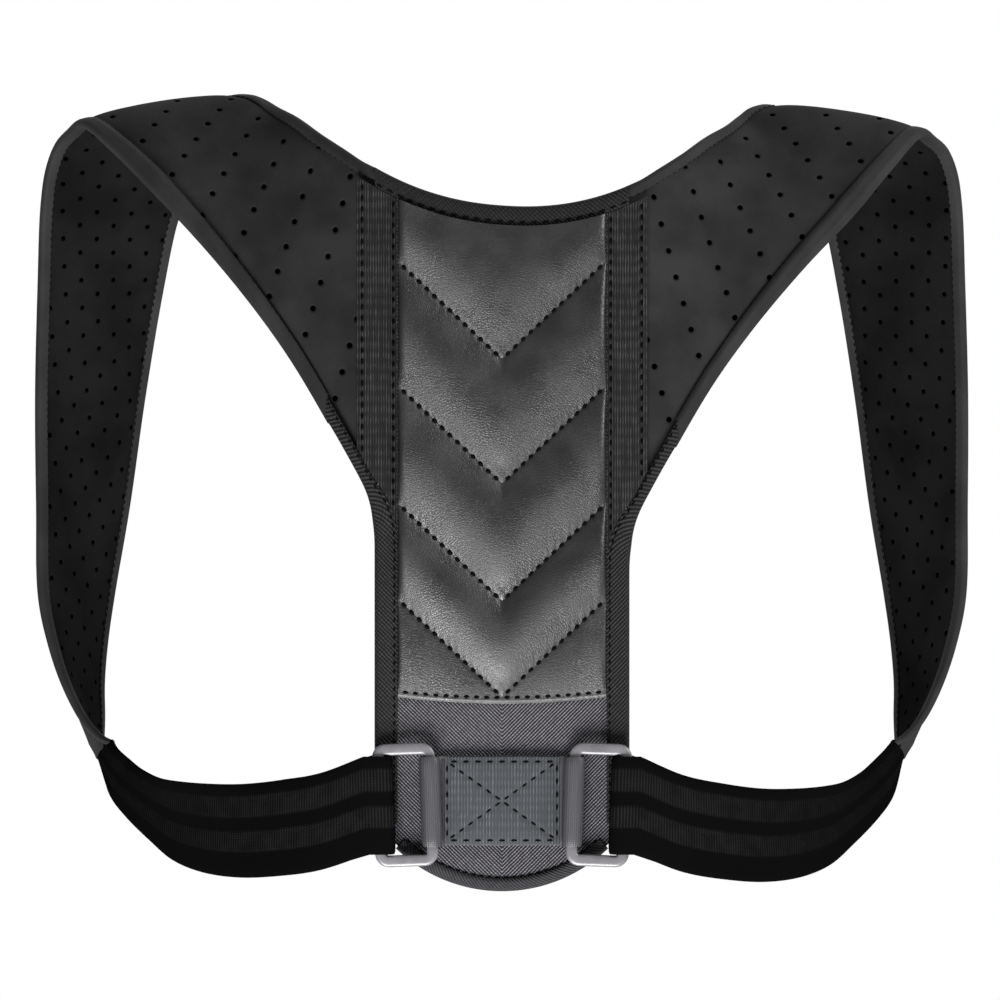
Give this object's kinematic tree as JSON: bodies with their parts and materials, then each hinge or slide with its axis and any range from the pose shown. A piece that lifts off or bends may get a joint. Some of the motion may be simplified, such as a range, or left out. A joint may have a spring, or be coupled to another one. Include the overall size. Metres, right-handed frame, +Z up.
{
  "type": "posture corrector",
  "caption": "Worn posture corrector: padded shoulder straps fan out from a quilted back panel and return under the arms as elastic, threaded through two rings at the lower back.",
  "frame": {"origin": "shoulder seat: on the centre line, over the middle of the shoulders, at the height of the straps' inner face where they rest on them", "axes": "+X to the wearer's right side as seen from behind, +Y the way that the wearer faces, +Z up"},
  "size_m": [0.4054, 0.1629, 0.3293],
  "materials": {
    "neoprene": "matte perforated neoprene with a brushed knit face",
    "edge_band": "smooth folded neoprene edge",
    "leather": "soft satin quilted leather",
    "twill": "coarse woven polyester twill",
    "tape": "narrow woven binding tape",
    "webbing": "ribbed woven webbing",
    "elastic": "ribbed elastic, near black",
    "ring_plastic": "satin moulded plastic"
  },
  "bodies": {
    "root": {"back_panel": "twill", "chevron_pad": "leather", "neck_binding": "tape", "flap_piping": "twill", "anchor_webbing_left": "webbing", "anchor_webbing_right": "webbing", "anchor_patch": "webbing", "shoulder_strap_left": "neoprene", "shoulder_strap_right": "neoprene", "arm_edge_left": "edge_band", "arm_edge_right": "edge_band", "neck_edge_left": "edge_band", "neck_edge_right": "edge_band", "seam_tape_left": "tape", "seam_tape_right": "tape", "side_binding_left": "tape", "side_binding_right": "tape", "ring_left": "ring_plastic", "ring_right": "ring_plastic", "side_strap_left": "elastic", "side_strap_right": "elastic", "hook_tab_left": "tape", "hook_tab_right": "tape"}
  },
  "joints": []
}
